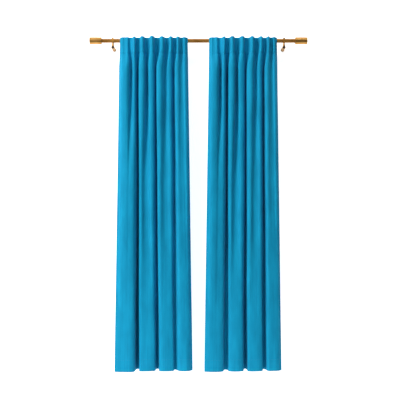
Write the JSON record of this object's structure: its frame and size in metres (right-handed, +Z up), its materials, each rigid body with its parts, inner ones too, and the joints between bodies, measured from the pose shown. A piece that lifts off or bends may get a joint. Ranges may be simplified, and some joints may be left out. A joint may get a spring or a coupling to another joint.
{
  "type": "window curtains on a rod",
  "caption": "Pair of back-tab window curtain panels hung in soft folds from a round metal rod with plain cylindrical end caps and wall brackets.",
  "frame": {"origin": "on the wall, midway between the centres of the two bracket screw holes", "axes": "+X to the right along the rod as seen from the room, +Y into the wall, +Z up"},
  "size_m": [1.389, 0.1458, 2.1349],
  "materials": {
    "brass_metal": "satin",
    "steel_screw": "satin",
    "black_plastic": "matte",
    "cloth": "matte"
  },
  "bodies": {
    "brackets": {"left_wall_rosette": "brass_metal", "left_bracket_arm": "brass_metal", "left_arm_plug": "black_plastic", "left_saddle": "brass_metal", "left_saddle_screw": "steel_screw", "right_wall_rosette": "brass_metal", "right_bracket_arm": "brass_metal", "right_arm_plug": "black_plastic", "right_saddle": "brass_metal", "right_saddle_screw": "steel_screw"},
    "rod": {"rod_tube": "brass_metal"},
    "left_cap": {"left_cap_shell": "brass_metal", "left_cap_collar": "brass_metal", "left_cap_screw": "steel_screw"},
    "left_fold_1": {"left_pleat_1": "cloth", "left_tab_1": "cloth"},
    "left_fold_2": {"left_pleat_2": "cloth", "left_tab_2": "cloth"},
    "left_fold_3": {"left_pleat_3": "cloth", "left_tab_3": "cloth"},
    "left_fold_4": {"left_pleat_4": "cloth", "left_tab_4": "cloth"},
    "left_fold_5": {"left_pleat_5": "cloth", "left_tab_5": "cloth"},
    "left_fold_6": {"left_pleat_6": "cloth", "left_tab_6": "cloth"},
    "left_fold_7": {"left_pleat_7": "cloth", "left_tab_7": "cloth"},
    "left_fold_8": {"left_pleat_8": "cloth", "left_tab_8": "cloth"},
    "right_cap": {"right_cap_shell": "brass_metal", "right_cap_collar": "brass_metal", "right_cap_screw": "steel_screw"},
    "right_fold_1": {"right_pleat_1": "cloth", "right_tab_1": "cloth"},
    "right_fold_2": {"right_pleat_2": "cloth", "right_tab_2": "cloth"},
    "right_fold_3": {"right_pleat_3": "cloth", "right_tab_3": "cloth"},
    "right_fold_4": {"right_pleat_4": "cloth", "right_tab_4": "cloth"},
    "right_fold_5": {"right_pleat_5": "cloth", "right_tab_5": "cloth"},
    "right_fold_6": {"right_pleat_6": "cloth", "right_tab_6": "cloth"},
    "right_fold_7": {"right_pleat_7": "cloth", "right_tab_7": "cloth"},
    "right_fold_8": {"right_pleat_8": "cloth", "right_tab_8": "cloth"}
  },
  "joints": [
    {"name": "rod_lift", "type": "slide", "parent": "brackets", "child": "rod", "axis": [0, 0, 1], "range_m": [0, 0.05]},
    {"name": "left_cap_pull", "type": "slide", "parent": "rod", "child": "left_cap", "axis": [-1, 0, 0], "range_m": [0, 0.03]},
    {"name": "left_panel_slide", "type": "slide", "parent": "rod", "child": "left_fold_1", "axis": [1, 0, 0], "range_m": [-0.04, 0.04]},
    {"name": "left_panel_gather", "type": "slide", "parent": "left_fold_1", "child": "left_fold_8", "axis": [-1, 0, 0], "range_m": [0, 0.111]},
    {"name": "left_fold_2_gather", "type": "slide", "parent": "left_fold_1", "child": "left_fold_2", "axis": [-1, 0, 0], "range_m": [0, 0.01596]},
    {"name": "left_fold_3_gather", "type": "slide", "parent": "left_fold_1", "child": "left_fold_3", "axis": [-1, 0, 0], "range_m": [0, 0.03181]},
    {"name": "left_fold_4_gather", "type": "slide", "parent": "left_fold_1", "child": "left_fold_4", "axis": [-1, 0, 0], "range_m": [0, 0.04767]},
    {"name": "left_fold_5_gather", "type": "slide", "parent": "left_fold_1", "child": "left_fold_5", "axis": [-1, 0, 0], "range_m": [0, 0.06353]},
    {"name": "left_fold_6_gather", "type": "slide", "parent": "left_fold_1", "child": "left_fold_6", "axis": [-1, 0, 0], "range_m": [0, 0.07939]},
    {"name": "left_fold_7_gather", "type": "slide", "parent": "left_fold_1", "child": "left_fold_7", "axis": [-1, 0, 0], "range_m": [0, 0.09524]},
    {"name": "right_cap_pull", "type": "slide", "parent": "rod", "child": "right_cap", "axis": [1, 0, 0], "range_m": [0, 0.03]},
    {"name": "right_panel_slide", "type": "slide", "parent": "rod", "child": "right_fold_1", "axis": [-1, 0, 0], "range_m": [-0.04, 0.04]},
    {"name": "right_panel_gather", "type": "slide", "parent": "right_fold_1", "child": "right_fold_8", "axis": [1, 0, 0], "range_m": [0, 0.111]},
    {"name": "right_fold_2_gather", "type": "slide", "parent": "right_fold_1", "child": "right_fold_2", "axis": [1, 0, 0], "range_m": [0, 0.01596]},
    {"name": "right_fold_3_gather", "type": "slide", "parent": "right_fold_1", "child": "right_fold_3", "axis": [1, 0, 0], "range_m": [0, 0.03181]},
    {"name": "right_fold_4_gather", "type": "slide", "parent": "right_fold_1", "child": "right_fold_4", "axis": [1, 0, 0], "range_m": [0, 0.04767]},
    {"name": "right_fold_5_gather", "type": "slide", "parent": "right_fold_1", "child": "right_fold_5", "axis": [1, 0, 0], "range_m": [0, 0.06353]},
    {"name": "right_fold_6_gather", "type": "slide", "parent": "right_fold_1", "child": "right_fold_6", "axis": [1, 0, 0], "range_m": [0, 0.07939]},
    {"name": "right_fold_7_gather", "type": "slide", "parent": "right_fold_1", "child": "right_fold_7", "axis": [1, 0, 0], "range_m": [0, 0.09524]}
  ],
  "couplings": [
    {"joint": "left_fold_2_gather", "follows": "left_panel_gather", "ratio": 0.14286},
    {"joint": "left_fold_3_gather", "follows": "left_panel_gather", "ratio": 0.28571},
    {"joint": "left_fold_4_gather", "follows": "left_panel_gather", "ratio": 0.42857},
    {"joint": "left_fold_5_gather", "follows": "left_panel_gather", "ratio": 0.57143},
    {"joint": "left_fold_6_gather", "follows": "left_panel_gather", "ratio": 0.71429},
    {"joint": "left_fold_7_gather", "follows": "left_panel_gather", "ratio": 0.85714},
    {"joint": "right_fold_2_gather", "follows": "right_panel_gather", "ratio": 0.14286},
    {"joint": "right_fold_3_gather", "follows": "right_panel_gather", "ratio": 0.28571},
    {"joint": "right_fold_4_gather", "follows": "right_panel_gather", "ratio": 0.42857},
    {"joint": "right_fold_5_gather", "follows": "right_panel_gather", "ratio": 0.57143},
    {"joint": "right_fold_6_gather", "follows": "right_panel_gather", "ratio": 0.71429},
    {"joint": "right_fold_7_gather", "follows": "right_panel_gather", "ratio": 0.85714}
  ]
}
